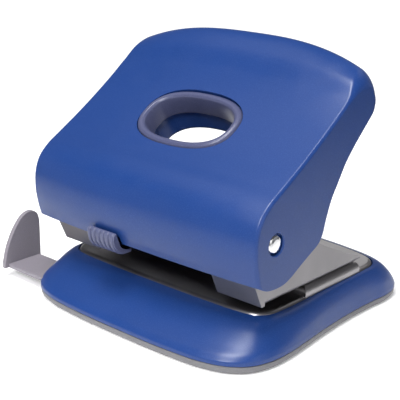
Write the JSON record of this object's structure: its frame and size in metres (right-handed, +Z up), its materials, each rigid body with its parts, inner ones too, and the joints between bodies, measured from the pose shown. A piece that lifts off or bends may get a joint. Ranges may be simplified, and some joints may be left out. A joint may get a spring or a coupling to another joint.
{
  "type": "hole punch",
  "caption": "Desk hole punch: hooded lever handle over a steel punch frame and bed, with sprung punches, a sliding paper guide, a lock slider and a drop-down chip tray.",
  "frame": {"origin": "on the resting surface under the middle of the base, midway between the two punches", "axes": "+Z up, -Y towards the front where the paper goes in, +X to the right seen from the front"},
  "size_m": [0.149, 0.1224, 0.1137],
  "materials": {
    "blue_plastic": "satin moulded plastic, royal blue",
    "grey_plastic": "fine matte moulded plastic, mid grey",
    "pale_grey_plastic": "satin moulded plastic, pale grey",
    "slate_plastic": "satin moulded plastic, dark slate blue",
    "nylon": "natural nylon",
    "sheet_steel": "satin pressed sheet with bright cut edges",
    "bright_steel": "polished and plated",
    "spring_steel": "drawn spring wire"
  },
  "bodies": {
    "base": {"base_cover": "blue_plastic", "die_plate": "sheet_steel", "base_screw_1": "bright_steel", "base_screw_2": "bright_steel", "base_screw_3": "bright_steel", "base_screw_4": "bright_steel", "punch_frame": "sheet_steel", "frame_rivet_1": "bright_steel", "frame_rivet_2": "bright_steel", "frame_rivet_3": "bright_steel", "frame_rivet_4": "bright_steel", "pivot_axle": "bright_steel", "left_pivot_washer": "nylon", "right_pivot_washer": "nylon", "left_lever_spacer": "nylon", "right_lever_spacer": "nylon", "left_guide_bush": "sheet_steel", "right_guide_bush": "sheet_steel", "left_return_spring": "spring_steel", "right_return_spring": "spring_steel"},
    "tray": {"chip_tray": "grey_plastic"},
    "handle": {"handle_shell": "blue_plastic", "grommet": "slate_plastic", "left_lever_arm": "sheet_steel", "right_lever_arm": "sheet_steel", "press_bar": "bright_steel", "handle_screw_1": "bright_steel", "handle_screw_2": "bright_steel", "handle_screw_3": "bright_steel", "handle_screw_4": "bright_steel"},
    "lock": {"lock_slider": "slate_plastic"},
    "guide": {"paper_guide": "pale_grey_plastic"},
    "left_plunger": {"left_punch": "bright_steel", "left_punch_washer": "spring_steel"},
    "right_plunger": {"right_punch": "bright_steel", "right_punch_washer": "spring_steel"}
  },
  "joints": [
    {"name": "handle_hinge", "type": "hinge", "parent": "base", "child": "handle", "pos_m": [0, -0.0373, 0.0497], "axis": [-1, 0, 0], "range_deg": [0, 22], "stiffness_Nm_per_rad": 0.6, "springref_deg": -34.38},
    {"name": "left_punch_slide", "type": "slide", "parent": "base", "child": "left_plunger", "axis": [0, 0, -1], "range_m": [0, 0.0064], "deforming": ["left_return_spring"]},
    {"name": "right_punch_slide", "type": "slide", "parent": "base", "child": "right_plunger", "axis": [0, 0, -1], "range_m": [0, 0.0064], "deforming": ["right_return_spring"]},
    {"name": "lock_slide", "type": "slide", "parent": "handle", "child": "lock", "axis": [1, 0, 0], "range_m": [0, 0.006]},
    {"name": "guide_slide", "type": "slide", "parent": "base", "child": "guide", "axis": [-1, 0, 0], "range_m": [-0.014, 0.065]},
    {"name": "tray_hinge", "type": "hinge", "parent": "base", "child": "tray", "pos_m": [0, 0.0618, 0.0038], "axis": [1, 0, 0], "range_deg": [0, 70]}
  ],
  "couplings": [
    {"joint": "left_punch_slide", "follows": "handle_hinge", "m_per_rad": 0.0163},
    {"joint": "right_punch_slide", "follows": "handle_hinge", "m_per_rad": 0.0163}
  ]
}
